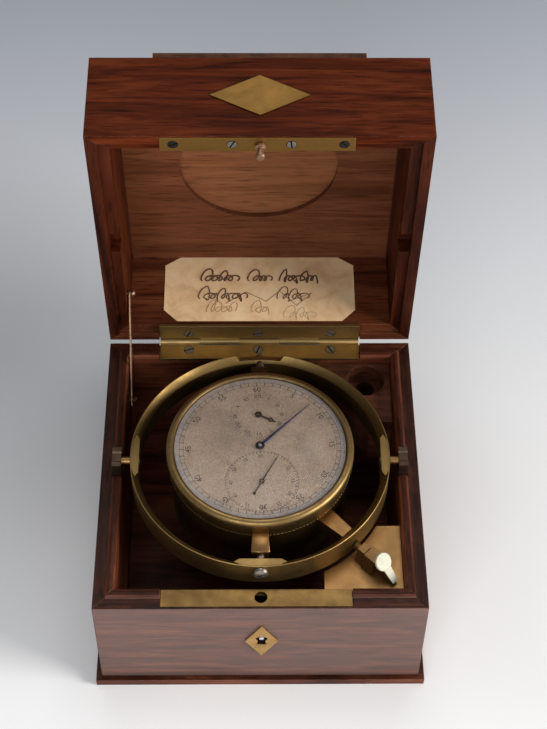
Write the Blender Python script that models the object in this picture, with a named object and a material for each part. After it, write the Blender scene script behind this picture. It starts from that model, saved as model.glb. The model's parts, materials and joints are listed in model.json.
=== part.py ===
"""Box chronometer in gimbals: a two-tier wooden box, hinged lid, gimbal ring, brass bowl and movement.

Sizes are in millimetres and become metres as each mesh is made. The origin is the centre of the
underside, +Z is up, +X is the right-hand side and -Y is the front, where the lock is.
Lid pieces are drawn with the lid shut, then turned open about the hinge."""

import math

import bmesh
import bpy
from mathutils import Matrix, Vector

MM = 0.001

# box
HALF_W = 88.0
HALF_D = 89.5
RIM_Z = 78.0
WALL = 11.7
FLOOR_Z = 5.5
GAP = 0.2
BEAD_IN = 6.2
BEAD_RISE = 2.3
MOULDING_OUT = 3.1
MOULDING_H = 5.3

# lid
LID_GAP = 0.4
LID_DEPTH = 54.4
LID_Z = RIM_Z + LID_GAP
PANEL_T = 2.9
OPEN_DEG = 84.8
HINGE_Y = HALF_D + 1.46
HINGE_Z = 78.2
HINGE_HALF = 58.5
BARREL_R = 2.2
KNUCKLES = 5
COVER_HALF = 55.5
COVER_T = 5.2
COVER_FRONT = -86.8
COVER_BACK = 74.0
WINDOW_R = 44.2
WINDOW_Y = -5.3

# gimbals
PIVOT_Z = 85.07
RING_OUT = 71.5
RING_IN = 67.3
RING_TOP = 90.4
RING_BOTTOM = 74.8
RING_BEVEL = 4.0
PIN_R = 2.25
CLEAR = 0.35
ARC_R = 72.2

# bowl
BOWL_R = 49.0
COLLAR_R = 50.4
COLLAR_Z = 86.5
BEZEL_R = 51.4
BEZEL_Z = 94.2
BEZEL_TOP = 99.7
BEZEL_BORE = 47.2
BOWL_WALL = 1.6
BOWL_BOTTOM = 42.0
DIAL_Z = 98.0

# gimbal lock, measured outwards along the front right diagonal
LOCK_Z = 79.6
LOCK_PIN_R = 1.9
LOCK_TRAVEL = 7.6
LUG_OUT = 65.9

# arbors of the movement, x and y
DIAL_TURN = math.radians(2.4)
HOUR_AT = (-21.45 * math.sin(DIAL_TURN), 21.45 * math.cos(DIAL_TURN))
SECONDS_AT = (23.1 * math.sin(DIAL_TURN), -23.1 * math.cos(DIAL_TURN))
THIRD_AT = (10.9, -11.3)
ESCAPE_AT = (-10.8, -25.5)
FUSEE_AT = (-17.5, 9.7)
BARREL_AT = (22.0, 20.0)
BALANCE_AT = (-6.0, -14.0)
DETENT_AT = (-24.0, -18.0)
SHUTTER_PIVOT = (-6.0, 20.0)
POISE_AT = (28.0, -22.6)

# lid stay: both pins stand the same distance from the hinge axis
STAY_R = 34.94
STAY_UPPER_DEG = 77.01
STAY_LOWER_DEG = 209.82
STAY_X = -75.0


def clear_scene():
    for obj in list(bpy.data.objects):
        bpy.data.objects.remove(obj)


def collection(name):
    group = bpy.data.collections.new(name)
    bpy.context.scene.collection.children.link(group)
    return group


clear_scene()
PARTS = collection("box_chronometer")
CUTTERS = collection("cutters")


def material(name, colour, rough, metal):
    made = bpy.data.materials.new(name)
    made.use_nodes = True
    shader = made.node_tree.nodes["Principled BSDF"]
    shader.inputs["Base Color"].default_value = (*colour, 1.0)
    shader.inputs["Roughness"].default_value = rough
    shader.inputs["Metallic"].default_value = metal
    return made


def wood(name, shade=1.0):
    return material(name, (0.17 * shade, 0.055 * shade, 0.03 * shade), 0.45, 0.0)


def brass(name, rough=0.3):
    return material(name, (0.72, 0.52, 0.24), rough, 1.0)


def steel(name):
    return material(name, (0.55, 0.55, 0.56), 0.3, 1.0)


def blued_steel(name):
    return material(name, (0.05, 0.06, 0.12), 0.35, 1.0)


def silver(name):
    return material(name, (0.78, 0.74, 0.68), 0.4, 0.6)


def glass(name):
    return material(name, (0.9, 0.95, 0.95), 0.02, 0.0)


def prism(points, axis, start, end):
    """A flat outline pushed along an axis. The outline's two values are the other two axes in order."""
    order = {"x": (1, 2, 0), "y": (0, 2, 1), "z": (0, 1, 2)}[axis]
    bm = bmesh.new()
    verts = []
    for a, b in points:
        place = [0.0, 0.0, 0.0]
        place[order[0]], place[order[1]], place[order[2]] = a, b, start
        verts.append(bm.verts.new(place))
    face = bm.faces.new(verts)
    moved = bmesh.ops.extrude_face_region(bm, geom=[face])["geom"]
    step = [0.0, 0.0, 0.0]
    step[order[2]] = end - start
    bmesh.ops.translate(bm, vec=step, verts=[v for v in moved if isinstance(v, bmesh.types.BMVert)])
    return bm


def block(x0, x1, y0, y1, z0, z1):
    return prism([(x0, y0), (x1, y0), (x1, y1), (x0, y1)], "z", z0, z1)


def lathe(profile, steps=32, closed=False, axis="z", at=(0.0, 0.0, 0.0)):
    """A profile of radius and height turned about an axis."""
    bm = bmesh.new()
    verts = [bm.verts.new((r, 0.0, h)) for r, h in profile]
    edges = [bm.edges.new(pair) for pair in zip(verts, verts[1:])]
    if closed:
        edges.append(bm.edges.new((verts[-1], verts[0])))
    bmesh.ops.spin(
        bm, geom=verts + edges, axis=(0, 0, 1), cent=(0, 0, 0),
        angle=2 * math.pi, steps=steps, use_merge=True,
    )
    bmesh.ops.remove_doubles(bm, verts=bm.verts, dist=0.0001)
    turn = {
        "z": Matrix.Identity(4),
        "x": Matrix.Rotation(math.pi / 2, 4, "Y"),
        "-x": Matrix.Rotation(-math.pi / 2, 4, "Y"),
        "y": Matrix.Rotation(-math.pi / 2, 4, "X"),
        "-y": Matrix.Rotation(math.pi / 2, 4, "X"),
    }[axis]
    bmesh.ops.transform(bm, matrix=Matrix.Translation(at) @ turn, verts=bm.verts)
    return bm


def rod(radius, start, end, steps=20, axis="z", at=(0.0, 0.0, 0.0)):
    return lathe([(0, start), (radius, start), (radius, end), (0, end)], steps, False, axis, at)


def turned(bm, matrix):
    bmesh.ops.transform(bm, matrix=matrix, verts=bm.verts)
    return bm


def opened(bm):
    """Turns a lid piece from shut to open about the hinge."""
    pivot = Vector((0, HINGE_Y, HINGE_Z))
    turn = Matrix.Rotation(math.radians(-OPEN_DEG), 4, "X")
    return turned(bm, Matrix.Translation(pivot) @ turn @ Matrix.Translation(-pivot))


def make(name, bm, look, group, origin):
    bmesh.ops.recalc_face_normals(bm, faces=bm.faces)
    bmesh.ops.translate(bm, vec=-Vector(origin), verts=bm.verts)
    bmesh.ops.scale(bm, vec=(MM, MM, MM), verts=bm.verts)
    mesh = bpy.data.meshes.new(name)
    bm.to_mesh(mesh)
    bm.free()
    obj = bpy.data.objects.new(name, mesh)
    obj.location = Vector(origin) * MM
    if look:
        mesh.materials.append(look)
    group.objects.link(obj)
    return obj


def add(name, bm, look, origin=(0.0, 0.0, 0.0), smooth=False):
    obj = make(name, bm, look(name), PARTS, origin)
    if smooth:
        obj.data.shade_smooth()
        obj.data.set_sharp_from_angle(angle=math.radians(35))
    return obj


def combine(obj, bm, operation):
    tool = make(f"{obj.name}_{operation.lower()}_{len(obj.modifiers)}", bm, None, CUTTERS, (0, 0, 0))
    tool.hide_render = True
    tool.display_type = "WIRE"
    step = obj.modifiers.new(tool.name, "BOOLEAN")
    step.object = tool
    step.operation = operation
    step.solver = "EXACT"


def cut(obj, *tools):
    for bm in tools:
        combine(obj, bm, "DIFFERENCE")


def join(obj, *tools):
    for bm in tools:
        combine(obj, bm, "UNION")


def mitred_bar(profile, side):
    """One wall of a box: a section of (distance in from the outer face, height), mitred at its ends."""
    along, across = (HALF_W, HALF_D) if side in ("front", "back") else (HALF_D, HALF_W)
    bm = bmesh.new()
    ends = []
    for sign in (-1, 1):
        ring = [bm.verts.new((sign * (along - o - 0.1), -(across - o), z)) for o, z in profile]
        ends.append(ring)
        bm.faces.new(ring)
    count = len(profile)
    for i in range(count):
        j = (i + 1) % count
        bm.faces.new((ends[0][i], ends[0][j], ends[1][j], ends[1][i]))
    quarter = {"front": 0, "right": 1, "back": 2, "left": 3}[side]
    return turned(bm, Matrix.Rotation(quarter * math.pi / 2, 4, "Z"))


def tray_section():
    inner = WALL
    return [
        (0.0, 0.0), (0.0, RIM_Z), (BEAD_IN, RIM_Z), (BEAD_IN + 0.3, RIM_Z + 1.2),
        (BEAD_IN + 1.2, RIM_Z + 2.0), (BEAD_IN + 2.7, RIM_Z + BEAD_RISE), (BEAD_IN + 4.2, RIM_Z + 2.0),
        (BEAD_IN + 5.1, RIM_Z + 1.2), (inner, RIM_Z + 0.3), (inner, 0.0),
    ]


def lid_section():
    step = BEAD_IN - 0.3
    return [
        (0.0, LID_Z), (0.0, LID_Z + LID_DEPTH - 0.8), (0.8, LID_Z + LID_DEPTH),
        (WALL, LID_Z + LID_DEPTH), (WALL, RIM_Z + BEAD_RISE + 0.5), (step, RIM_Z + BEAD_RISE + 0.5),
        (step, LID_Z),
    ]


def tray():
    x, y = HALF_W - WALL - GAP, HALF_D - WALL - GAP
    add("tray_bottom", block(-x, x, -y, y, 0.0, FLOOR_Z), wood)
    outer = [(HALF_W + MOULDING_OUT, HALF_D + MOULDING_OUT), (HALF_W + GAP, HALF_D + GAP)]
    (ox, oy), (ix, iy) = outer
    frame = add("base_moulding", block(-ox, ox, -oy, oy, 0.0, MOULDING_H), wood)
    cut(frame, block(-ix, ix, -iy, iy, -1.0, MOULDING_H + 1.0))
    walls = {}
    for side in ("front", "back", "left", "right"):
        walls[side] = add(f"tray_{side}_wall", mitred_bar(tray_section(), side), wood)
    cut(
        walls["front"],
        block(-52.7, 48.5, -88.4, -77.0, RIM_Z - 2.0, RIM_Z + 5),
        block(-30.3, 30.3, -87.7, -78.9, 37.7, RIM_Z),
        rod(2.6, 0.0, 4.0, 16, "y", (0.5, -HALF_D - 1.0, 48.0)),
    )
    cut(
        walls["back"],
        block(-HINGE_HALF - 0.3, HINGE_HALF + 0.3, 76.5, HALF_D + 1, RIM_Z - 1.9, RIM_Z + 5),
        rod(2.8, -59.0, 59.0, 24, "x", (0.0, HINGE_Y, HINGE_Z)),
    )
    for side, sign in (("left", -1), ("right", 1)):
        lo, hi = sorted((sign * 70.0, sign * 82.0))
        cut(walls[side], block(lo, hi, -6.6, 6.6, 69.7, RIM_Z + 5))
    angle = math.radians(STAY_LOWER_DEG)
    y, z = HINGE_Y + STAY_R * math.cos(angle), HINGE_Z + STAY_R * math.sin(angle)
    cut(walls["left"], rod(1.2, 0.0, 6.0, 12, "x", (-80.0, y, z)))


def corner_outline(front):
    """The plan of a corner piece with a hollow edge that follows the gimbal ring."""
    sign = -1 if front else 1
    far_y = HALF_D - WALL - GAP
    far_x = HALF_W - WALL - GAP
    first = math.asin(35.0 / ARC_R)
    last = math.acos(34.0 / ARC_R)
    points = [(far_x, sign * 35.0)]
    for i in range(13):
        angle = first + (last - first) * i / 12
        points.append((ARC_R * math.cos(angle), sign * ARC_R * math.sin(angle)))
    points += [(34.0, sign * far_y), (far_x, sign * far_y)]
    return points


def corners():
    outline = corner_outline(True)
    add("corner_plate", prism(outline, "z", 70.5, 72.5), brass)
    add("corner_block", prism(outline, "z", 50.0, 70.2), wood)
    well = add("key_well_block", prism(corner_outline(False), "z", 38.0, 73.4), wood)
    cut(well, rod(11.0, 65.0, 80.0, 36, "z", (61.7, 65.0, 0)), rod(5.5, 44.0, 66.0, 24, "z", (61.7, 65.0, 0)))


def box_lock():
    plate = add("lock_plate", block(-52.4, 48.2, -88.1, -77.9, RIM_Z - 1.8, RIM_Z), brass)
    cut(plate, rod(3.4, 70.0, 85.0, 28, "z", (0.2, -82.6, 0)))
    case = add("box_lock_case", block(-30.0, 30.0, -87.4, -79.2, 38.0, RIM_Z - 2.0), brass)
    cut(
        case,
        block(-27.0, 27.0, -86.4, -80.2, 40.0, 80.0),
        rod(2.0, 0.0, 3.0, 16, "y", (0.5, -88.5, 48.0)),
    )
    bolt = add("box_lock_bolt", block(-20.0, -3.2, -85.5, -79.9 - 0.4, 73.0, 75.4), steel)
    cut(bolt, block(-9.1, 0.0, -84.7, -80.9, 70.0, 78.0))
    points = [(0.55, 60.7), (9.4, 45.15), (0.55, 29.6), (-8.3, 45.15)]
    scutcheon = add("escutcheon", prism(points, "y", -HALF_D - 0.2, -HALF_D - 1.0), brass)
    cut(
        scutcheon,
        rod(2.0, 0.0, 5.0, 20, "y", (0.55, -HALF_D - 3.0, 48.0)),
        block(-0.4, 1.5, -HALF_D - 3, -HALF_D + 1, 41.5, 48.0),
    )


def hinge():
    """Two leaves with a five-knuckle barrel on one pin."""
    step = 2 * HINGE_HALF / KNUCKLES
    for name, lo, hi, kept in (("lower", RIM_Z - 1.7, RIM_Z + 0.1, 0), ("upper", LID_Z - 0.1, LID_Z + 1.8, 1)):
        near = 77.9 if name == "lower" else 76.2
        sheet = block(-HINGE_HALF, HINGE_HALF, near, 88.2, lo, hi)
        tabs, barrels = [], []
        for i in range(KNUCKLES):
            if i % 2 != kept:
                continue
            x0 = -HINGE_HALF + i * step + 0.15
            x1 = -HINGE_HALF + (i + 1) * step - 0.15
            tabs.append(block(x0, x1, 87.0, 90.4, lo, hi))
            barrels.append(rod(BARREL_R, x0, x1, 16, "x", (0.0, HINGE_Y, HINGE_Z)))
        bore = rod(1.3, -60.0, 60.0, 12, "x", (0.0, HINGE_Y, HINGE_Z))
        pieces = tabs + barrels + [bore]
        if name == "upper":
            sheet = opened(sheet)
            pieces = [opened(piece) for piece in pieces]
        leaf = add(f"hinge_{name}_leaf", sheet, brass)
        join(leaf, *pieces[:-1])
        cut(leaf, pieces[-1])
    add("hinge_pin", rod(1.0, -58.4, 58.4, 12, "x", (0.0, HINGE_Y, HINGE_Z)), steel)


def stay():
    lower, upper = math.radians(STAY_LOWER_DEG), math.radians(STAY_UPPER_DEG)
    pin_y, pin_z = HINGE_Y + STAY_R * math.cos(lower), HINGE_Z + STAY_R * math.sin(lower)
    top_y, top_z = HINGE_Y + STAY_R * math.cos(upper), HINGE_Z + STAY_R * math.sin(upper)
    headed = [(0, -4.2), (0.95, -4.2), (0.95, 1.0), (1.9, 1.0), (2.1, 1.9), (1.5, 3.0), (0, 3.3)]
    add("stay_lower_pin", lathe(headed, 16, False, "x", (STAY_X, pin_y, pin_z)), brass)
    add("stay_upper_pin", lathe(headed, 16, False, "x", (STAY_X, top_y, top_z)), brass)
    reach = math.hypot(pin_y - top_y, pin_z - top_z)
    half, slot = 2.5, 1.3
    outline = []
    for centre, start in ((0.0, math.pi / 2), (reach + 2.5, -math.pi / 2)):
        for i in range(9):
            angle = start + math.pi * i / 8
            outline.append((centre + half * math.cos(angle), half * math.sin(angle)))
    strip = prism(outline, "x", -0.4, 0.4)
    hole = rod(1.3, -2.0, 2.0, 16, "x")
    near, far = 26.0, reach + 1.0
    groove = []
    for centre, start in ((near, math.pi / 2), (far, -math.pi / 2)):
        for i in range(7):
            angle = start + math.pi * i / 6
            groove.append((centre + slot * math.cos(angle), slot * math.sin(angle)))
    groove = prism(groove, "x", -2.0, 2.0)
    turn = math.atan2(pin_z - top_z, pin_y - top_y)
    place = Matrix.Translation((STAY_X, top_y, top_z)) @ Matrix.Rotation(turn, 4, "X")
    strip = add("lid_stay", turned(strip, place), brass, (STAY_X, top_y, top_z))
    cut(strip, turned(hole, place), turned(groove, place))


def lid():
    walls = {}
    for side in ("front", "back", "left", "right"):
        walls[side] = add(f"lid_{side}_wall", opened(mitred_bar(lid_section(), side)), wood)
    cut(walls["front"], opened(block(-50.7, 48.3, -88.6, -77.0, LID_Z - 3, LID_Z + 2.1)))
    cut(
        walls["back"],
        opened(block(-HINGE_HALF - 0.3, HINGE_HALF + 0.3, 75.9, HALF_D + 1, LID_Z - 3, LID_Z + 2.0)),
        opened(rod(2.8, -59.0, 59.0, 24, "x", (0.0, HINGE_Y, HINGE_Z))),
    )
    for side, sign in (("left", -1), ("right", 1)):
        lo, hi = sorted((sign * 70.0, sign * 82.4))
        cut(walls[side], opened(block(lo, hi, -7.9, 7.9, LID_Z - 3, LID_Z + 11.8)))
    angle = math.radians(STAY_UPPER_DEG)
    y, z = HINGE_Y + STAY_R * math.cos(angle), HINGE_Z + STAY_R * math.sin(angle)
    cut(walls["left"], rod(1.25, 0.0, 6.0, 16, "x", (-79.7, y, z)))
    top = LID_Z + LID_DEPTH
    x, y = HALF_W - WALL - GAP, HALF_D - WALL - GAP
    panel = add("lid_top_panel", opened(block(-x, x, -y, y, top - PANEL_T, top)), wood)
    cut(panel, opened(rod(WINDOW_R, top - 5, top + 2, 64, "z", (-0.5, WINDOW_Y, 0))))
    cover = block(-COVER_HALF, COVER_HALF, COVER_FRONT, COVER_BACK, top + 0.3, top + COVER_T)
    add("lid_shutter", opened(cover), wood)
    for x0 in (-COVER_HALF - 4.3, COVER_HALF + 0.3):
        join(panel, opened(block(x0, x0 + 4.0, -77.0, COVER_BACK, top - 1.0, top + COVER_T)))
    plate = add("latch_plate", opened(block(-50.4, 48.0, -88.3, -78.5, LID_Z, LID_Z + 1.8)), brass)
    cut(plate, opened(rod(1.6, 70.0, 90.0, 16, "z", (0.2, -82.8, 0))))
    stud = [(0, LID_Z - 8.5), (1.9, LID_Z - 8.5), (2.3, LID_Z - 7.6), (2.3, LID_Z - 6.4), (1.5, LID_Z - 5.9),
            (1.5, LID_Z - 2.3), (2.7, LID_Z - 2.0), (2.7, LID_Z - 0.3), (1.3, LID_Z - 0.3), (1.3, LID_Z + 1.7),
            (0, LID_Z + 1.7)]
    add("latch_stud", opened(lathe(stud, 20, False, "z", (0.2, -82.8, 0))), brass, smooth=True)
    points = [(0.0, LID_Z + 13.6), (25.5, LID_Z + 27.2), (0.0, LID_Z + 40.8), (-25.5, LID_Z + 27.2)]
    add("number_plate", opened(prism(points, "y", -HALF_D - 0.2, -HALF_D - 0.9)), brass)


def gimbal_ring():
    axle = (0, 0, PIVOT_Z)
    section = [
        (RING_OUT, RING_BOTTOM), (RING_OUT, RING_TOP), (RING_IN + RING_BEVEL, RING_TOP),
        (RING_IN, RING_TOP - RING_BEVEL), (RING_IN, RING_BOTTOM),
    ]
    ring = add("gimbal_ring", lathe(section, 72, True), brass, axle, True)
    plan = [(66.5, -13.0), (68.4, -16.0), (70.2, -9.0), (70.2, 9.0), (68.4, 16.0), (66.5, 13.0)]
    for quarter in range(4):
        boss = prism(plan, "z", RING_BOTTOM + 0.2, RING_TOP - 0.2)
        join(ring, turned(boss, Matrix.Rotation(quarter * math.pi / 2, 4, "Z")))
    cut(
        ring,
        rod(PIN_R + CLEAR, -80.0, 80.0, 20, "x", axle),
        rod(PIN_R + CLEAR, -80.0, 80.0, 20, "y", axle),
        turned(rod(LOCK_PIN_R + 0.5, 60.0, 80.0, 16, "x", (0, 0, LOCK_Z)), Matrix.Rotation(-math.pi / 4, 4, "Z")),
    )
    for name, axis in (("left", "-x"), ("right", "x")):
        add(f"{name}_ring_pivot", rod(PIN_R, 66.9, 80.4, 20, axis, axle), steel, axle)
    screw = [(0, 58.6), (PIN_R, 58.6), (PIN_R, 71.8), (4.2, 71.8), (4.2, 72.9), (3.4, 73.9), (1.5, 74.3), (0, 74.3)]
    for name, axis, turn in (("front", "-y", 1), ("back", "y", -1)):
        part = add(f"{name}_pivot_screw", lathe(screw, 20, False, axis, axle), steel, axle)
        lo, hi = sorted((-turn * 73.5, -turn * 75.5))
        cut(part, block(-5.0, 5.0, lo, hi, PIVOT_Z - 0.5, PIVOT_Z + 0.5))
    for name, sign in (("left", -1), ("right", 1)):
        waist = [(-6.3, 70.0), (6.3, 70.0), (6.3, 89.0), (3.4, 89.0), (2.6, 88.2), (-2.6, 88.2), (-3.4, 89.0),
                 (-6.3, 89.0)]
        lo, hi = sorted((sign * 76.4, sign * 81.5))
        bearing = add(f"{name}_gimbal_bearing", prism(waist, "x", lo, hi), brass)
        cut(bearing, rod(PIN_R + CLEAR, 70.0, 80.9, 20, "x" if sign > 0 else "-x", axle))


def diagonal(bm):
    """Lays a piece drawn along +X on the front right diagonal."""
    return turned(bm, Matrix.Rotation(-math.pi / 4, 4, "Z"))


def trapezoid(bottom, top, z0, z1, start, end):
    return prism([(-bottom, z0), (bottom, z0), (top, z1), (-top, z1)], "x", start, end)


def gimbal_lock():
    """A spring pin in a guide: pushed in, it holds the ring and the bowl's lug."""
    guide = add("lock_guide_block", diagonal(trapezoid(4.6, 2.7, 72.8, 82.3, 76.0, 80.5)), brass)
    cut(guide, diagonal(rod(LOCK_PIN_R + 0.3, 70.0, 85.0, 16, "x", (0, 0, LOCK_Z))))
    at = (72.8 * math.sqrt(0.5), -72.8 * math.sqrt(0.5), LOCK_Z)
    bolt = add("gimbal_lock_bolt", diagonal(trapezoid(5.5, 3.5, 72.8, 83.2, 81.2, 88.6)), brass, at)
    cut(bolt, diagonal(trapezoid(4.95, 3.05, 72.0, 82.6, 80.0, 88.3)))
    tail = prism([(88.4, 73.0), (100.6, 73.0), (100.6, 75.4), (92.4, 83.6), (88.4, 83.6)], "y", -1.6, 1.6)
    disc = lathe([(0, -1.2), (4.85, -1.2), (4.85, 0.2), (0, 0.2)], 28)
    tilt = Matrix.Translation((92.0, 0, 84.1)) @ Matrix.Rotation(math.pi / 4, 4, "Y")
    join(bolt, diagonal(tail), diagonal(turned(disc, tilt)))
    join(bolt, diagonal(rod(LOCK_PIN_R, 72.8, 88.6, 16, "x", (0, 0, LOCK_Z))))
    lug = add("lock_lug", diagonal(prism([(48.0, -5.0), (LUG_OUT, -3.7), (LUG_OUT, 3.7), (48.0, 5.0)],
                                         "z", 75.6, 84.0)), brass)
    cut(
        lug,
        rod(BOWL_R + GAP, 70.0, 90.0, 64),
        diagonal(rod(LOCK_PIN_R + 0.4, 61.0, 70.0, 16, "x", (0, 0, LOCK_Z))),
    )


def bowl():
    axle = (0, 0, PIVOT_Z)
    section = [
        (0, BOWL_BOTTOM), (38.0, BOWL_BOTTOM), (44.5, BOWL_BOTTOM + 0.8), (47.8, BOWL_BOTTOM + 3.5),
        (BOWL_R, 50.0), (BOWL_R, COLLAR_Z), (COLLAR_R, COLLAR_Z), (COLLAR_R, BEZEL_Z - 0.2),
        (47.4, BEZEL_Z - 0.2), (47.4, 50.2), (46.4, 46.6), (43.9, 44.4), (38.0, BOWL_BOTTOM + BOWL_WALL),
        (0, BOWL_BOTTOM + BOWL_WALL),
    ]
    shell = add("bowl", lathe(section, 48), brass, axle, True)
    cut(shell, rod(4.5, 35.0, 50.0, 24, "z", (*FUSEE_AT, 0)), rod(1.4, 35.0, 50.0, 12, "z", (*SHUTTER_PIVOT, 0)))
    rim = [
        (BEZEL_BORE, BEZEL_Z), (BEZEL_R, BEZEL_Z), (BEZEL_R, BEZEL_TOP - 2.0), (BEZEL_R - 0.6, BEZEL_TOP - 0.6),
        (BEZEL_R - 1.9, BEZEL_TOP), (BEZEL_BORE + 0.6, BEZEL_TOP), (BEZEL_BORE, BEZEL_TOP - 0.5),
    ]
    add("bezel", lathe(rim, 56, True), brass, axle, True)
    dome = []
    for i in range(5):
        r = 46.9 * i / 4
        dome.append((r, 102.2 - 1.8 * (r / 46.9) ** 2))
    for i in range(4, -1, -1):
        r = 46.9 * i / 4
        dome.append((r, 101.0 - 1.8 * (r / 46.9) ** 2))
    add("crystal", lathe(dome, 32), glass, axle, True)
    dial = add("dial", rod(46.9, DIAL_Z - 0.8, DIAL_Z, 48), silver, axle)
    cut(
        dial,
        rod(1.7, 90, 110, 16), rod(1.5, 90, 110, 16, "z", (*HOUR_AT, 0)), rod(1.3, 90, 110, 16, "z", (*SECONDS_AT, 0)),
    )
    for name, sign in (("front", -1), ("back", 1)):
        ends = [(48.0, 76.0), (63.0, 77.5), (63.4, 88.2), (62.0, 89.5), (58.5, 89.6), (51.6, 93.6), (48.0, 93.6)]
        body = prism([(sign * y, z) for y, z in ends], "x", -5.0, 5.0)
        holder = add(f"{name}_pivot_block", body, brass)
        cut(
            holder,
            rod(COLLAR_R + GAP, 70.0, 96.0, 64),
            rod(PIN_R + CLEAR, 58.0, 70.0, 20, "-y" if sign < 0 else "y", axle),
        )


def arbor(name, at, profile, look, steps=16):
    add(name, lathe(profile, steps, False, "z", (*at, 0)), look, (*at, 70.0), True)


def wheel_on(z, r, thick=1.2):
    return [(1.0, z), (r, z), (r, z + thick), (1.0, z + thick)]


def movement():
    holes = ((0, 0, 1.6), (*SECONDS_AT, 1.5), (*THIRD_AT, 1.4), (*ESCAPE_AT, 1.4), (*BARREL_AT, 1.8),
             (*FUSEE_AT, 1.8), (*HOUR_AT, 1.5))
    plate = add("top_plate", rod(46.9, 90.4, 92.4, 32), brass)
    for x, y, r in holes:
        cut(plate, rod(r, 88.0, 95.0, 10, "z", (x, y, 0)))
    base = add("pillar_plate", rod(45.0, 57.6, 59.6, 32), brass)
    for x, y, r in holes[:-1]:
        wide = 2.8 if (x, y) == FUSEE_AT else r
        cut(base, rod(wide, 55.0, 62.0, 10, "z", (x, y, 0)))
    for angle in (50, 140, 230, 320):
        turn = math.radians(angle + 35)
        at = (41.0 * math.cos(turn), 41.0 * math.sin(turn), 0)
        join(base, rod(2.6, 58.5, 90.2, 10, "z", at))
    join(base, rod(6.5, 46.0, 58.4, 16, "z", (*POISE_AT, 0)))
    x, y = BALANCE_AT
    cock = [(y - 21.0, 44.1), (y + 3.0, 44.1), (y + 3.0, 45.3), (y - 17.2, 45.3), (y - 17.2, 58.2), (y - 21.0, 58.2)]
    join(base, prism(cock, "x", x - 3.0, x + 3.0))
    centre = [(0, 58.2), (1.2, 58.2), (1.2, 60.6), (2.2, 60.6), (2.2, 66.0), (1.2, 66.0)]
    centre += wheel_on(86.0, 13.0) + [(1.2, 87.4), (1.2, 93.0), (2.0, 93.0), (2.0, 95.4), (0.9, 95.4), (0.9, 99.7),
                                      (0, 99.7)]
    arbor("centre_arbor", (0, 0), centre, steel)
    third = [(0, 58.0), (1.0, 58.0), (1.0, 80.0), (13.2, 80.0), (13.2, 81.2), (1.0, 81.2), (1.0, 84.4), (2.0, 84.4),
             (2.0, 88.4), (1.0, 88.4), (1.0, 92.0), (0, 92.0)]
    arbor("third_wheel", THIRD_AT, third, brass)
    fourth = [(0, 58.0), (1.0, 58.0), (1.0, 72.0), (10.0, 72.0), (10.0, 73.2), (1.0, 73.2), (1.0, 78.4), (1.8, 78.4),
              (1.8, 82.4), (1.0, 82.4), (1.0, 94.0), (0.7, 94.0), (0.7, 99.0), (0, 99.0)]
    arbor("fourth_wheel", SECONDS_AT, fourth, brass)
    escape = [(0, 58.0), (1.0, 58.0), (1.0, 66.0), (7.0, 66.0), (7.0, 67.2), (1.0, 67.2), (1.0, 70.4), (1.6, 70.4),
              (1.6, 74.6), (1.0, 74.6), (1.0, 92.0), (0, 92.0)]
    arbor("escape_wheel", ESCAPE_AT, escape, brass)
    fusee = [(0, 46.5), (1.7, 46.5), (1.7, 55.0), (2.4, 55.0), (2.4, 60.0), (1.4, 60.0), (1.4, 61.4), (17.4, 61.4),
             (17.4, 63.0), (12.5, 63.4), (12.5, 66.0), (10.5, 70.0), (9.0, 74.0), (7.8, 78.0), (7.0, 82.0),
             (1.4, 82.6), (1.4, 92.0), (0, 92.0)]
    arbor("fusee", FUSEE_AT, fusee, brass, 20)
    drum = [(0, 58.0), (1.4, 58.0), (1.4, 80.0), (14.0, 80.0), (14.0, 61.4), (15.0, 61.4), (15.0, 81.0), (1.4, 81.0),
            (1.4, 92.0), (0, 92.0)]
    arbor("spring_barrel", BARREL_AT, drum, brass, 20)
    hour = [(0, 92.7), (1.0, 92.7), (1.0, 93.4), (18.6, 93.4), (18.6, 94.6), (1.0, 94.6), (1.0, 98.9), (0, 98.9)]
    arbor("hour_wheel", HOUR_AT, hour, brass, 20)


def escapement():
    staff = [(0, 45.6), (0.9, 45.6), (0.9, 46.2), (16.0, 46.2), (16.0, 48.8), (0.9, 48.8), (0.9, 57.0), (0, 57.0)]
    arbor("balance", BALANCE_AT, staff, brass, 20)
    rows = 4
    coil = [(4.0, 50.0)]
    for i in range(rows):
        z = 50.0 + 1.5 * i
        coil += [(4.6, z + 0.2), (4.8, z + 0.7), (4.6, z + 1.2)]
    coil += [(4.0, 56.4)]
    add("balance_spring", lathe(coil, 12, True, "z", (*BALANCE_AT, 0)), blued_steel)
    x, y = DETENT_AT
    lever = add("detent", rod(1.2, 60.6, 70.0, 12, "z", (x, y, 0)), steel, (x, y, 65.0))
    join(lever, block(x, x + 5.0, y - 1.0, y + 0.2, 66.1, 67.1))


def hand_blade(length, tail, root, tip, at, angle, z0, z1):
    outline = [(-tail, -root), (0.0, -root), (length, -tip), (length, tip), (0.0, root), (-tail, root)]
    blade = prism(outline, "z", z0, z1)
    return turned(blade, Matrix.Translation((*at, 0)) @ Matrix.Rotation(angle, 4, "Z"))


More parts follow.
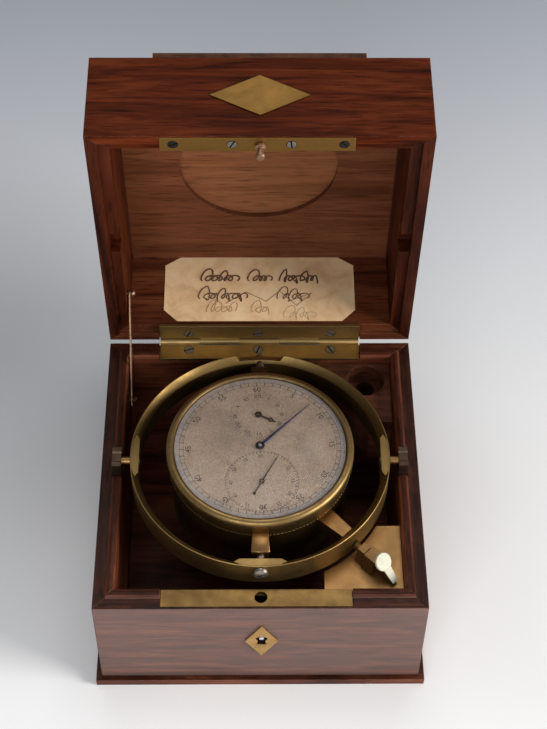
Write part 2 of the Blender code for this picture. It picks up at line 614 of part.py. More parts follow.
def hands():
    minute = add("minute_hand", rod(2.6, 99.0, 99.6, 24), blued_steel, (0, 0, 99.0))
    join(minute, hand_blade(39.6, 0.0, 0.7, 0.25, (0, 0), math.radians(45.0), 99.1, 99.5))
    cut(minute, rod(1.1, 95.0, 105.0, 16))
    hour = add("hour_hand", rod(1.9, 98.3, 98.8, 20, "z", (*HOUR_AT, 0)), blued_steel, (*HOUR_AT, 98.5))
    join(hour, hand_blade(9.6, 0.0, 0.6, 0.25, HOUR_AT, math.radians(-31.0), 98.35, 98.7))
    cut(hour, rod(1.2, 95.0, 105.0, 16, "z", (*HOUR_AT, 0)))
    seconds = add("seconds_hand", rod(1.6, 98.3, 98.8, 20, "z", (*SECONDS_AT, 0)), blued_steel, (*SECONDS_AT, 98.5))
    join(seconds, hand_blade(18.2, 7.0, 0.5, 0.15, SECONDS_AT, math.radians(64.0), 98.35, 98.7))
    cut(seconds, rod(0.9, 95.0, 105.0, 16, "z", (*SECONDS_AT, 0)))


def dust_shutter():
    """A sprung flap under the bowl that covers the winding square."""
    x, y = FUSEE_AT
    flap = add("dust_shutter", rod(6.5, 40.6, 41.7, 28, "z", (x, y, 0)), brass, (*SHUTTER_PIVOT, 41.0))
    reach = Vector(SHUTTER_PIVOT) - Vector(FUSEE_AT)
    arm = prism([(0.0, -2.4), (reach.length, -2.4), (reach.length, 2.4), (0.0, 2.4)], "z", 40.7, 41.6)
    turn = Matrix.Translation((x, y, 0)) @ Matrix.Rotation(math.atan2(reach.y, reach.x), 4, "Z")
    join(flap, turned(arm, turn), rod(2.8, 40.6, 41.7, 20, "z", (*SHUTTER_PIVOT, 0)))
    join(flap, rod(1.0, 40.8, 45.4, 12, "z", (*SHUTTER_PIVOT, 0)))


tray()
corners()
box_lock()
hinge()
stay()
lid()
gimbal_ring()
gimbal_lock()
bowl()
movement()
escapement()
hands()
dust_shutter()
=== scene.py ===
"""Looks of the box chronometer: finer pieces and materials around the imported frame.

Lengths are in metres; MM turns millimetres into metres, and mm() does so for a whole outline.
Lid pieces are drawn with the lid shut, then turned open about the hinge, as the stored pose has it.
Most outlines of turned pieces are (radius, height) points."""

import json
import math

import bmesh
import bpy
from mathutils import Matrix, Vector


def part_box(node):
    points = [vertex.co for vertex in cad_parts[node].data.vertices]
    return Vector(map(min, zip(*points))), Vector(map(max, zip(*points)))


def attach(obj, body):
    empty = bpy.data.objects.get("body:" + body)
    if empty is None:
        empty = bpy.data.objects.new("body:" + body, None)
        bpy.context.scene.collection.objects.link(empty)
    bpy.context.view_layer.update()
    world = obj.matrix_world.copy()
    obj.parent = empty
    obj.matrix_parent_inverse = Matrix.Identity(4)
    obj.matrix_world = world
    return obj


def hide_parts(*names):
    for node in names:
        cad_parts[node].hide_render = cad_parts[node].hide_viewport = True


MM = 0.001
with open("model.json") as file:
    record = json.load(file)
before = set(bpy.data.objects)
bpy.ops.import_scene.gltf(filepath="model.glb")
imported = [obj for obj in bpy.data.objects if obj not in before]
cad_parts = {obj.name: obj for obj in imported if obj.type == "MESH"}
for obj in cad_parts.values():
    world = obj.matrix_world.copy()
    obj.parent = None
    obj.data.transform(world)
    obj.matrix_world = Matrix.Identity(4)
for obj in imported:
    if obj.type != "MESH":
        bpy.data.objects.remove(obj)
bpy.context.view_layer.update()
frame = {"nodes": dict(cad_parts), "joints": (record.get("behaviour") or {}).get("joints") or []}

# places taken from the frame; the lid ones hold for the shut lid
JOINTS = {joint["name"]: joint for joint in frame["joints"]}
HINGE = Vector(JOINTS["lid_hinge"]["pos_m"])
AXLE = Vector(JOINTS["ring_pivot"]["pos_m"])
OPEN = math.radians(84.8)  # the lid's angle in the stored pose
RIM_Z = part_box("lock_plate")[1][2]
HALF_D = -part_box("tray_front_wall")[0][1]
LID_Z = RIM_Z + 0.4 * MM
LEAF_TOP = RIM_Z + 0.1 * MM
LEAF_UNDER = LID_Z - 0.1 * MM
LABEL_WALL_Y = HALF_D - 11.7 * MM
DIAL_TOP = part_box("dial")[1][2]
HOUR_AT = Vector(JOINTS["hour_turn"]["pos_m"])
SECONDS_AT = Vector(JOINTS["seconds_turn"]["pos_m"])

# sizes shared by several pieces
RING_IN, RING_OUT = 67.3, 71.5
RING_LOW, RING_HIGH = -10.2, 5.33
PIVOT_R = 2.25
PIVOT_BORE = 2.5
DIAL_R = 46.9
DIAL_T = 0.8 * MM
HINGE_HALF = 58.5
HINGE_SCREWS_X = (-41.6, -0.9, 41.6)
LATCH_SCREWS_X = (-43.7, -14.0, 15.8, 42.3)

# how the dial and its hands are turned
DIAL_TURN = math.radians(2.4)
MINUTE_HAND = math.radians(45.6)
HOUR_HAND = math.radians(-30.0) + DIAL_TURN
SECONDS_HAND = math.radians(62.5)

# camera: its lens and the height of its sensor are in millimetres
LENS = 78.9432
SENSOR = 36.0
CAMERA_AT = Vector((-2.4, -510.0, 808.0)) * MM
PITCH = math.radians(51.365)
YAW = math.radians(1.030)
ROLL = math.radians(0.715)


# ---------------------------------------------------------------- shader helpers

BLACK = (0.0, 0.0, 0.0)


def shade(colour, factor):
    return tuple(min(1.0, c * factor) for c in colour)


class Shader:
    """A material with its node tree and a few short ways to add nodes."""

    def __init__(self, name):
        self.material = bpy.data.materials.new(name)
        self.material.use_nodes = True
        self.tree = self.material.node_tree
        self.surface = self.tree.nodes["Principled BSDF"]
        self.place = self.node("ShaderNodeTexCoord").outputs["Object"]

    def node(self, kind, **settings):
        made = self.tree.nodes.new(kind)
        for key, value in settings.items():
            setattr(made, key, value)
        return made

    def link(self, source, target):
        self.tree.links.new(source, target)

    def mapped(self, scale, turn=0.0):
        mapping = self.node("ShaderNodeMapping")
        mapping.inputs["Scale"].default_value = scale
        if turn:
            spin = self.node("ShaderNodeVectorRotate", rotation_type="X_AXIS")
            spin.inputs["Angle"].default_value = turn
            self.link(self.place, spin.inputs["Vector"])
            self.link(spin.outputs["Vector"], mapping.inputs["Vector"])
        else:
            self.link(self.place, mapping.inputs["Vector"])
        return mapping.outputs["Vector"]

    def noise(self, vector, scale, detail=6.0, rough=0.6, twist=0.0):
        noise = self.node("ShaderNodeTexNoise")
        noise.inputs["Scale"].default_value = scale
        noise.inputs["Detail"].default_value = detail
        noise.inputs["Roughness"].default_value = rough
        noise.inputs["Distortion"].default_value = twist
        self.link(vector, noise.inputs["Vector"])
        return noise.outputs["Fac"]

    def ramp(self, source, stops):
        ramp = self.node("ShaderNodeValToRGB")
        band = ramp.color_ramp
        while len(band.elements) < len(stops):
            band.elements.new(0.5)
        for element, (at, colour) in zip(band.elements, stops):
            element.position = at
            value = (colour, colour, colour) if isinstance(colour, float) else colour
            element.color = (*value, 1.0)
        self.link(source, ramp.inputs["Fac"])
        return ramp.outputs["Color"]

    def feed(self, socket, value):
        """Links a socket to a socket, or stores a number or a colour in it."""
        if isinstance(value, bpy.types.NodeSocket):
            self.link(value, socket)
        elif isinstance(value, tuple):
            socket.default_value = (*value, 1.0)
        else:
            socket.default_value = value

    def mix(self, factor, first, second, blend="MIX"):
        mix = self.node("ShaderNodeMix", data_type="RGBA", blend_type=blend)
        self.feed(mix.inputs["Factor"], factor)
        self.feed(mix.inputs[6], first)
        self.feed(mix.inputs[7], second)
        return mix.outputs[2]

    def both(self, first, second):
        """The share of the second mask that the first one lets through."""
        return self.mix(first, BLACK, second)

    def span(self, value, low, high):
        """Maps low to 0 and high to 1."""
        level = self.node("ShaderNodeMapRange")
        level.inputs["From Min"].default_value = low
        level.inputs["From Max"].default_value = high
        self.link(value, level.inputs["Value"])
        return level.outputs["Result"]

    def axis(self, vector, name):
        split = self.node("ShaderNodeSeparateXYZ")
        self.link(vector, split.inputs[0])
        return split.outputs[name]

    def set(self, **values):
        for key, value in values.items():
            self.feed(self.surface.inputs[key.replace("_", " ")], value)

    def edges(self, reach):
        """A mask that is 1 along arrises: where a rounded normal turns away from the face's own."""
        rounded = self.node("ShaderNodeBevel", samples=6)
        rounded.inputs["Radius"].default_value = reach
        same = self.node("ShaderNodeVectorMath", operation="DOT_PRODUCT")
        self.link(rounded.outputs["Normal"], same.inputs[0])
        self.link(self.node("ShaderNodeNewGeometry").outputs["Normal"], same.inputs[1])
        return self.ramp(same.outputs["Value"], [(0.8, 1.0), (0.97, 0.0)])

    def relief(self, height, depth, round_edge=0.0):
        bump = self.node("ShaderNodeBump")
        bump.inputs["Strength"].default_value = 1.0
        bump.inputs["Distance"].default_value = depth
        self.link(height, bump.inputs["Height"])
        if round_edge:
            edge = self.node("ShaderNodeBevel", samples=6)
            edge.inputs["Radius"].default_value = round_edge
            self.link(edge.outputs["Normal"], bump.inputs["Normal"])
        self.link(bump.outputs["Normal"], self.surface.inputs["Normal"])


def wood(name, grain, tones, haze=0.0, turn=0.0, round_edge=0.5 * MM, gloss=0.32, shine=0.12, crown=1.0,
         wear=0.5, grain_size=1.0, foot=None):
    """Old polished wood. grain is the axis the fibres run along; tones are dark, middle and light.

    haze is a pale greyish tint on faces that don't face up; crown darkens flat tops: painted shade that holds
    down the overhead light on them, together with dirt on the rims; foot is the pair of heights between which
    a blotchy darkening towards the bottom dies away."""
    look = Shader(name)
    axis = "xyz".index(grain)
    along, fine = [75.0 * grain_size] * 3, [900.0] * 3
    along[axis], fine[axis] = 7.0 * grain_size, 55.0
    figure = look.noise(look.mapped(along, turn), 1.0, 9.0, 0.62, 0.7)
    pores = look.noise(look.mapped(fine, turn), 1.0, 3.0, 0.6)
    dark, middle, light = tones
    colour = look.ramp(figure, [(0.32, dark), (0.5, middle), (0.68, light)])
    pore_mask = look.ramp(pores, [(0.34, 1.0), (0.46, 0.0)])
    colour = look.mix(look.both(0.6, pore_mask), colour, shade(dark, 0.3))
    blotch = look.noise(look.place, 22.0, 5.0, 0.6)
    facing_up = look.axis(look.node("ShaderNodeTexCoord").outputs["Normal"], "Z")
    haze_mask = look.both(look.ramp(facing_up, [(0.1, 1.0), (0.4, 0.0)]),
                      look.ramp(blotch, [(0.3, haze * 0.8), (0.7, haze)]))
    colour = look.mix(haze_mask, colour, (0.28, 0.215, 0.2))
    # painted shade and dirt: flat tops darkened, partly for the overhead light falling on them, partly for
    # real dirt
    if crown < 1.0:
        shade_and_dirt_noise = look.noise(look.place, 90.0, 5.0, 0.7)
        top_shade_and_dirt = look.both(look.ramp(facing_up, [(0.9, 0.0), (0.97, 1.0)]),
                          look.ramp(shade_and_dirt_noise, [(0.3, 1.0), (0.75, 0.45)]))
        darker = look.mix(1.0, colour, (crown, crown * 0.95, crown * 0.95), "MULTIPLY")
        colour = look.mix(top_shade_and_dirt, colour, darker)
    # darker towards the bottom, in blotches, with a bluish multiply
    if foot:
        height = look.span(look.axis(look.place, "Z"), *foot)
        low_darkening = look.mix(0.5, look.ramp(height, [(0.0, 1.0), (1.0, 0.0)]),
                         look.ramp(blotch, [(0.35, 0.0), (0.6, 1.0)]), "MULTIPLY")
        colour = look.mix(low_darkening, colour, look.mix(1.0, colour, (0.3, 0.32, 0.4), "MULTIPLY"))
    worn = look.noise(look.place, 260.0, 4.0, 0.7)
    rubbed = look.both(look.edges(0.7 * MM), look.ramp(worn, [(0.45, 0.0), (0.7, wear)]))
    colour = look.mix(rubbed, colour, (0.3, 0.17, 0.11))
    look.set(Base_Color=colour, Roughness=look.ramp(blotch, [(0.3, gloss), (0.7, gloss + 0.16)]))
    look.set(Coat_Weight=0.02, Coat_Roughness=0.25, Specular_IOR_Level=shine)
    look.relief(pore_mask, -0.03 * MM, round_edge)
    return look.material


def brass(name, bright, dull, wear=0.5, rough=0.27, round_edge=0.3 * MM, spin=False):
    """Brass with a brown film that thickens in blotches, and fine turning or brushing marks."""
    look = Shader(name)
    blotch = look.noise(look.place, 70.0, 8.0, 0.65, 0.3)
    fine = look.noise(look.mapped((60.0, 60.0, 2400.0) if spin else (1600.0, 60.0, 60.0)), 1.0, 2.0, 0.5)
    film = look.ramp(blotch, [(0.5 - wear * 0.35, 0.0), (0.78, 1.0)])
    colour = look.mix(film, bright, dull)
    # painted highlight and wear: convex edges lightened, partly for light catching them, partly for film
    # rubbed off there
    edge_wear_and_highlight = look.node("ShaderNodeNewGeometry").outputs["Pointiness"]
    colour = look.mix(look.ramp(edge_wear_and_highlight, [(0.5, 0.0), (0.58, 0.35)]), colour, shade(bright, 1.25))
    specks = look.noise(look.place, 900.0, 4.0, 0.7)
    colour = look.mix(look.ramp(specks, [(0.62, 0.0), (0.72, 0.55)]), colour, shade(dull, 0.35))
    roughness = look.ramp(blotch, [(0.3, rough), (0.75, rough + 0.2)])
    look.set(Base_Color=colour, Metallic=1.0, Roughness=roughness)
    look.relief(fine, 0.006 * MM, round_edge)
    return look.material


def steel(name, colour=(0.5, 0.5, 0.5), rough=0.28):
    look = Shader(name)
    blotch = look.noise(look.place, 220.0, 6.0, 0.6)
    tone = look.mix(look.ramp(blotch, [(0.45, 0.0), (0.75, 0.8)]), colour, shade(colour, 0.5))
    look.set(Base_Color=tone, Metallic=1.0, Roughness=look.ramp(blotch, [(0.3, rough), (0.7, rough + 0.2)]))
    look.relief(blotch, 0.01 * MM, 0.2 * MM)
    return look.material


def silvering(name):
    """A silvered dial gone warm and pinkish, with a cooler rim."""
    look = Shader(name)
    blotch = look.noise(look.place, 38.0, 7.0, 0.6, 0.4)
    grain = look.noise(look.place, 1300.0, 5.0, 0.8)
    colour = look.ramp(blotch, [(0.35, (0.31, 0.245, 0.185)), (0.5, (0.43, 0.315, 0.225)),
                                (0.66, (0.46, 0.37, 0.28))])
    green = look.ramp(look.noise(look.place, 24.0, 2.0, 0.5), [(0.6, 0.0), (0.75, 0.3)])
    colour = look.mix(green, colour, (0.42, 0.46, 0.4))
    flat = look.node("ShaderNodeVectorMath", operation="MULTIPLY")
    flat.inputs[1].default_value = (1.0, 1.0, 0.0)
    look.link(look.place, flat.inputs[0])
    radius = look.node("ShaderNodeVectorMath", operation="LENGTH")
    look.link(flat.outputs[0], radius.inputs[0])
    rim = look.ramp(look.span(radius.outputs["Value"], 0.0, 47.0 * MM), [(0.9, 0.0), (0.985, 1.0)])
    patches = look.noise(look.place, 330.0, 6.0, 0.75)
    cool = look.both(rim, look.ramp(patches, [(0.36, 0.1), (0.56, 0.9)]))
    colour = look.mix(cool, colour, (0.31, 0.32, 0.345))
    pitted = look.both(rim, look.ramp(patches, [(0.56, 0.0), (0.66, 0.8)]))
    colour = look.mix(pitted, colour, (0.15, 0.13, 0.12))
    colour = look.mix(look.ramp(grain, [(0.38, 0.75), (0.55, 0.0)]), colour, (0.17, 0.13, 0.11))
    colour = look.mix(look.ramp(grain, [(0.6, 0.0), (0.72, 0.6)]), colour, (0.72, 0.62, 0.5))
    look.set(Base_Color=colour, Metallic=0.35, Roughness=0.55)
    look.relief(grain, 0.01 * MM)
    return look.material


def plain(name, colour, rough=0.6, shine=0.5):
    look = Shader(name)
    tint = look.noise(look.place, 150.0, 4.0, 0.6)
    tone = look.mix(look.ramp(tint, [(0.4, 0.0), (0.7, 0.5)]), colour, shade(colour, 0.6))
    look.set(Base_Color=tone, Roughness=rough, Specular_IOR_Level=shine)
    return look.material


def clear_glass(name):
    look = Shader(name)
    look.set(Base_Color=(1.0, 1.0, 1.0), Roughness=0.02, Transmission_Weight=1.0, IOR=1.45)
    mixer = look.node("ShaderNodeMixShader")
    clear = look.node("ShaderNodeBsdfTransparent")
    mixer.inputs[0].default_value = 0.08
    look.link(clear.outputs[0], mixer.inputs[1])
    look.link(look.surface.outputs[0], mixer.inputs[2])
    look.link(mixer.outputs[0], look.tree.nodes["Material Output"].inputs["Surface"])
    return look.material


def old_paper(name):
    look = Shader(name)
    low_darkening = look.noise(look.place, 60.0, 7.0, 0.6, 0.5)
    colour = look.ramp(low_darkening, [(0.3, (0.66, 0.4, 0.2)), (0.5, (0.85, 0.58, 0.32)),
                               (0.7, (0.92, 0.68, 0.42))])
    fibre = look.noise(look.place, 1500.0, 2.0, 0.5)
    look.set(Base_Color=colour, Roughness=0.85)
    look.relief(fibre, 0.02 * MM)
    return look.material


# wood tones: dark, middle and light
DARK_RED = ((0.025, 0.006, 0.003), (0.10, 0.026, 0.012), (0.2, 0.06, 0.026))
FRONT_RED = ((0.035, 0.01, 0.007), (0.10, 0.028, 0.014), (0.2, 0.06, 0.028))
LID_RED = ((0.02, 0.0035, 0.001), (0.08, 0.0135, 0.003), (0.15, 0.03, 0.008))
KEY_WELL = ((0.035, 0.013, 0.008), (0.11, 0.038, 0.02), (0.18, 0.07, 0.04))
LID_SIDE = ((0.015, 0.003, 0.001), (0.058, 0.011, 0.0035), (0.115, 0.026, 0.008))
INNER = ((0.075, 0.022, 0.009), (0.145, 0.045, 0.019), (0.2, 0.07, 0.03))
BOARD = ((0.16, 0.055, 0.022), (0.24, 0.088, 0.036), (0.3, 0.12, 0.052))
INNER_BACK = ((0.04, 0.009, 0.004), (0.115, 0.03, 0.012), (0.18, 0.055, 0.022))

LOOKS = {
    "tray_front": wood("rosewood_tray_front", "x", FRONT_RED, haze=0.38, crown=0.2, grain_size=3.4),
    "tray_across": wood("rosewood_tray_x", "x", DARK_RED, crown=0.25),
    "well": wood("rosewood_well", "x", KEY_WELL),
    "tray_sides": wood("rosewood_tray_y", "y", DARK_RED, crown=0.25),
    "tray_floor": wood("rosewood_floor", "x", DARK_RED),
    "lid_front": wood("rosewood_lid_x", "x", LID_RED, shine=0.03, grain_size=1.7),
    "lid_back": wood("rosewood_lid_back", "x", INNER_BACK, foot=(RIM_Z + 1 * MM, RIM_Z + 16 * MM)),
    "lid_sides": wood("rosewood_lid_side", "y", LID_SIDE, turn=OPEN, wear=0.25, shine=0.05,
                      foot=(RIM_Z + 6 * MM, RIM_Z + 60 * MM)),
    "panel": wood("rosewood_panel", "x", INNER),
    "board": wood("rosewood_board", "x", BOARD, crown=0.2, wear=0.1),
    "ring": brass("brass_ring", (0.31, 0.2, 0.075), (0.14, 0.085, 0.03), 0.5, 0.34, 0.2 * MM, spin=True),
    "bezel": brass("brass_bezel", (0.34, 0.225, 0.09), (0.15, 0.09, 0.033), 0.5, 0.34, 0.2 * MM, spin=True),
    "bowl": brass("brass_bowl", (0.26, 0.17, 0.06), (0.08, 0.05, 0.018), 0.7, 0.34, 0.2 * MM, spin=True),
    "plate": brass("brass_plates", (0.2, 0.12, 0.042), (0.11, 0.06, 0.02), 0.4, 0.34),
    "latch": brass("brass_latch", (0.26, 0.145, 0.04), (0.15, 0.08, 0.02), 0.4, 0.34),
    "hinge": brass("brass_hinge", (0.36, 0.25, 0.105), (0.2, 0.14, 0.06), 0.4, 0.34),
    "lozenge": brass("brass_lozenges", (0.5, 0.31, 0.11), (0.28, 0.16, 0.055), 0.35, 0.36),
    "corner": brass("brass_corner", (0.32, 0.18, 0.07), (0.24, 0.13, 0.048), 0.2, 0.36),
    "guide": brass("brass_guide", (0.2, 0.115, 0.045), (0.11, 0.06, 0.024), 0.4, 0.34),
    "number": brass("brass_number", (0.27, 0.145, 0.038), (0.09, 0.048, 0.018), 0.85, 0.38),
    "orange": brass("brass_orange", (0.32, 0.17, 0.065), (0.16, 0.08, 0.03), 0.35, 0.3),
    "stay": brass("brass_stay", (0.3, 0.18, 0.11), (0.12, 0.07, 0.04), 0.6, 0.38),
    "bearing": brass("brass_bearing", (0.12, 0.08, 0.052), (0.03, 0.02, 0.013), 0.7, 0.36),
    "stud": brass("brass_stud", (0.36, 0.22, 0.14), (0.2, 0.12, 0.07), 0.3, 0.36),
    # painted highlight: the thumb disc and its lever face are coloured pale for the glare of the key light on
    # brass
    "disc": plain("brass_painted_glare", (0.56, 0.54, 0.42)),
    "steel": steel("steel_bright"),
    "dark_steel": steel("steel_dark", (0.3, 0.28, 0.26), 0.36),
    "pin_steel": steel("steel_pin", (0.75, 0.78, 0.82), 0.4),
    "blue": steel("steel_blued", (0.05, 0.05, 0.14), 0.3),
    "screw_steel": steel("steel_screw", (0.3, 0.26, 0.22), 0.3),
    "black_steel": steel("steel_black", (0.045, 0.04, 0.045), 0.35),
    "dial": silvering("silvered_dial"),
    "ink": plain("dial_ink", (0.018, 0.014, 0.013), 0.7),
    "brown_ink": plain("label_ink", (0.13, 0.06, 0.03), 0.8),
    "faded_ink": plain("label_faded_ink", (0.42, 0.24, 0.12), 0.8),
    "pencil": plain("label_pencil", (0.3, 0.25, 0.2), 0.8),
    # painted shade: near-black for the dark inside of the keyhole and of the gaps round screw heads
    "gap_shade": plain("painted_gap_shade", (0.006, 0.004, 0.003), 1.0, shine=0.05),
    "paper": old_paper("label_paper"),
    "glass": clear_glass("crystal_glass"),
}

CAD_LOOKS = {
    "tray_front": ("tray_front_wall",),
    "tray_across": ("tray_back_wall", "corner_block", "base_moulding"),
    "well": ("key_well_block",),
    "tray_sides": ("tray_left_wall", "tray_right_wall"),
    "tray_floor": ("tray_bottom",),
    "lid_front": ("lid_front_wall",),
    "lid_back": ("lid_back_wall",),
    "lid_sides": ("lid_left_wall", "lid_right_wall"),
    "panel": ("lid_top_panel",),
    "board": ("lid_shutter",),
    "plate": ("lock_plate", "box_lock_case"),
    "latch": ("latch_plate",),
    "hinge": ("hinge_lower_leaf", "hinge_upper_leaf"),
    "lozenge": ("escutcheon",),
    "number": ("number_plate",),
    "stay": ("lid_stay", "stay_lower_pin", "stay_upper_pin"),
    "bearing": ("left_gimbal_bearing", "right_gimbal_bearing", "back_pivot_block"),
    "stud": ("latch_stud",),
    "corner": ("corner_plate", "left_ring_pivot", "right_ring_pivot"),
    "guide": ("lock_guide_block", "gimbal_lock_bolt"),
    "orange": ("lock_lug", "front_pivot_block"),
    "bowl": ("dust_shutter", "top_plate", "pillar_plate", "third_wheel", "fourth_wheel",
             "escape_wheel", "fusee", "spring_barrel", "hour_wheel", "balance"),
    "steel": ("hinge_pin", "box_lock_bolt", "centre_arbor", "detent"),
    "blue": ("balance_spring",),
}


def dress_frame():
    for look, nodes in CAD_LOOKS.items():
        for node in nodes:
            obj = frame["nodes"][node]
            if not obj.material_slots:
                obj.data.materials.append(None)
            for slot in obj.material_slots:
                slot.material = LOOKS[look]


# ---------------------------------------------------------------- mesh helpers

def shut_to_open(bm):
    """Turns a lid piece from shut to its stored angle."""
    turn = Matrix.Translation(HINGE) @ Matrix.Rotation(-OPEN, 4, "X") @ Matrix.Translation(-HINGE)
    bmesh.ops.transform(bm, matrix=turn, verts=bm.verts)
    return bm


def placed(name, data):
    obj = bpy.data.objects.new(name, data)
    bpy.context.scene.collection.objects.link(obj)
    return obj


def baked(obj):
    """A new mesh of the object with its modifiers or curve settings applied."""
    bpy.context.view_layer.update()
    return bpy.data.meshes.new_from_object(obj.evaluated_get(bpy.context.evaluated_depsgraph_get()))


def smoothed(mesh):
    mesh.shade_smooth()
    mesh.set_sharp_from_angle(angle=math.radians(35))


def piece(name, bm, look, body, replaces=(), smooth=True, bevel=0.0):
    """Makes one visual piece that rides a body and may replace frame nodes."""
    bmesh.ops.recalc_face_normals(bm, faces=bm.faces)
    mesh = bpy.data.meshes.new(name)
    bm.to_mesh(mesh)
    bm.free()
    obj = placed(name, mesh)
    mesh.materials.append(LOOKS[look])
    if bevel:
        step = obj.modifiers.new("edges", "BEVEL")
        step.width = bevel
        step.segments = 2
        step.limit_method = "ANGLE"
    if smooth:
        smoothed(mesh)
    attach(obj, body)
    if replaces:
        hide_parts(*replaces)
    return obj


def lathe(profile, steps=96, closed=False, at=(0.0, 0.0, 0.0), turn=None):
    """Turns (radius, height) points about the vertical axis through at."""
    bm = bmesh.new()
    verts = [bm.verts.new((r, 0.0, h)) for r, h in profile]
    edges = [bm.edges.new(pair) for pair in zip(verts, verts[1:])]
    if closed:
        edges.append(bm.edges.new((verts[-1], verts[0])))
    bmesh.ops.spin(bm, geom=verts + edges, axis=(0, 0, 1), cent=(0, 0, 0), angle=2 * math.pi, steps=steps,
                   use_merge=True)
    bmesh.ops.remove_doubles(bm, verts=bm.verts, dist=0.000001)
    place = Matrix.Translation(at)
    if turn:
        place = place @ turn
    bmesh.ops.transform(bm, matrix=place, verts=bm.verts)
    return bm


def outline_prism(points, z0, z1, place=None, bm=None):
    """Adds a flat outline in the XY plane, thickened from z0 to z1."""
    bm = bm or bmesh.new()
    verts = [bm.verts.new((x, y, z0)) for x, y in points]
    face = bm.faces.new(verts)
    made = bmesh.ops.extrude_face_region(bm, geom=[face])["geom"]
    top = [v for v in made if isinstance(v, bmesh.types.BMVert)]
    bmesh.ops.translate(bm, vec=(0, 0, z1 - z0), verts=top)
    if place:
        bmesh.ops.transform(bm, matrix=place, verts=verts + top)
    return bm


def mm(points):
    return [(a * MM, b * MM) for a, b in points]


def rod(radius, low, high):
    """The outline that lathe turns into a plain rod."""
    return [(0, low), (radius, low), (radius, high), (0, high)]


def rectangle(x0, y0, x1, y1):
    """A plan outline, and the closed outline that lathe turns into a flat ring or tube."""
    return [(x0, y0), (x1, y0), (x1, y1), (x0, y1)]


def mirrored(side):
    """Closes an outline that is given on its +X side only, from the bottom up."""
    return side + [(-x, y) for x, y in side[::-1]]


def circle(radius, steps=28):
    angles = [2 * math.pi * i / steps for i in range(steps)]
    return [(radius * math.cos(a), radius * math.sin(a)) for a in angles]


def cut_by(obj, tool_bm, operation="DIFFERENCE"):
    """Applies one Boolean and discards its tool."""
    mesh = bpy.data.meshes.new("tool")
    bmesh.ops.recalc_face_normals(tool_bm, faces=tool_bm.faces)
    tool_bm.to_mesh(mesh)
    tool_bm.free()
    tool = placed("tool", mesh)
    step = obj.modifiers.new("cut", "BOOLEAN")
    step.object = tool
    step.operation = operation
    step.solver = "EXACT"
    result = baked(obj)
    obj.modifiers.remove(step)
    obj.data = result
    bpy.data.objects.remove(tool)
    smoothed(result)


# ---------------------------------------------------------------- gimbals and bowl

def gimbal_ring():
    """The ring: bosses at three pivots, and a lowered stretch at the back one."""
    low, high = RING_LOW, RING_HIGH
    section = [(RING_OUT, low), (RING_OUT, 5.1), (71.3, high), (71.0, high), (67.5, 1.5), (RING_IN, 1.2),
               (RING_IN, low)]
    ring = piece("ring_visual", lathe(mm(section), 180, True, AXLE), "ring", "ring", ("gimbal_ring",))
    side = [(66.5, 11.2), (68.4, 14.0), (70.8, 8.6)]
    boss = [(x, -y) for x, y in side] + [(71.0, 0.0)] + side[::-1]
    centre = Matrix.Translation(AXLE)
    for quarter in (0, 2, 3):
        place = centre @ Matrix.Rotation(quarter * math.pi / 2, 4, "Z")
        cut_by(ring, outline_prism(mm(boss), -10.0 * MM, 5.25 * MM, place), "UNION")
    notch = mirrored([(11.7, 2.9), (15.6, 7.0)])
    upright = centre @ Matrix.Rotation(math.pi / 2, 4, "X")
    cut_by(ring, outline_prism(mm(notch), -80.0 * MM, -60.0 * MM, upright))
    for axis in ("Y", "X"):
        bore = lathe(mm(rod(PIVOT_BORE, -80, 80)), 24, False, AXLE, Matrix.Rotation(math.pi / 2, 4, axis))
        cut_by(ring, bore)
    lock = Matrix.Rotation(-math.pi / 4, 4, "Z") @ Matrix.Rotation(math.pi / 2, 4, "Y")
    cut_by(ring, lathe(mm(rod(2.3, 60, 80)), 24, False, (0, 0, 79.6 * MM), lock))


def bowl():
    """The bowl with its knurled flange, the bezel and the domed crystal."""
    shell = [(0, 42.1), (38.0, 42.1), (43.5, 42.7), (46.9, 44.9), (48.6, 48.2), (49.0, 52.0), (49.0, 86.2),
             (50.0, 86.5), (50.4, 87.0), (50.4, 93.9), (47.5, 93.9), (47.5, 52.0), (43.0, 44.0), (0, 43.9)]
    piece("bowl_visual", lathe(mm(shell), 160), "bowl", "bowl_body", ("bowl",))
    rim = [(47.3, 94.3), (51.2, 94.3), (51.4, 94.8), (51.4, 97.2), (51.2, 98.2), (50.7, 99.0), (49.9, 99.5),
           (48.9, 99.7), (47.9, 99.6), (47.4, 99.2), (47.3, 98.6)]
    piece("bezel_visual", lathe(mm(rim), 160, True), "bezel", "bowl_body", ("bezel",))
    dome = [(DIAL_R * i / 10, 101.1 - 1.8 * (i / 10) ** 2) for i in range(11)]
    outer = [(r, h + 1.0) for r, h in dome]
    glass = piece("crystal_visual", lathe(mm(outer + dome[::-1]), 128), "glass", "bowl_body", ("crystal",))
    glass.visible_shadow = False
    beads = bmesh.new()
    count, bead_circle = 150, 50.25 * MM
    for i in range(count):
        angle = 2 * math.pi * i / count
        at = Matrix.Translation((bead_circle * math.cos(angle), bead_circle * math.sin(angle), 87.2 * MM))
        bmesh.ops.create_icosphere(beads, subdivisions=1, radius=0.42 * MM, matrix=at)
    piece("bowl_knurl", beads, "bezel", "bowl_body")


# ---------------------------------------------------------------- dial and hands

def on_dial(angle, radius, centre):
    """A point on the dial at a clockwise angle from its twelve o'clock."""
    turned = math.pi / 2 - angle + DIAL_TURN
    return (centre[0] + radius * math.cos(turned), centre[1] + radius * math.sin(turned))


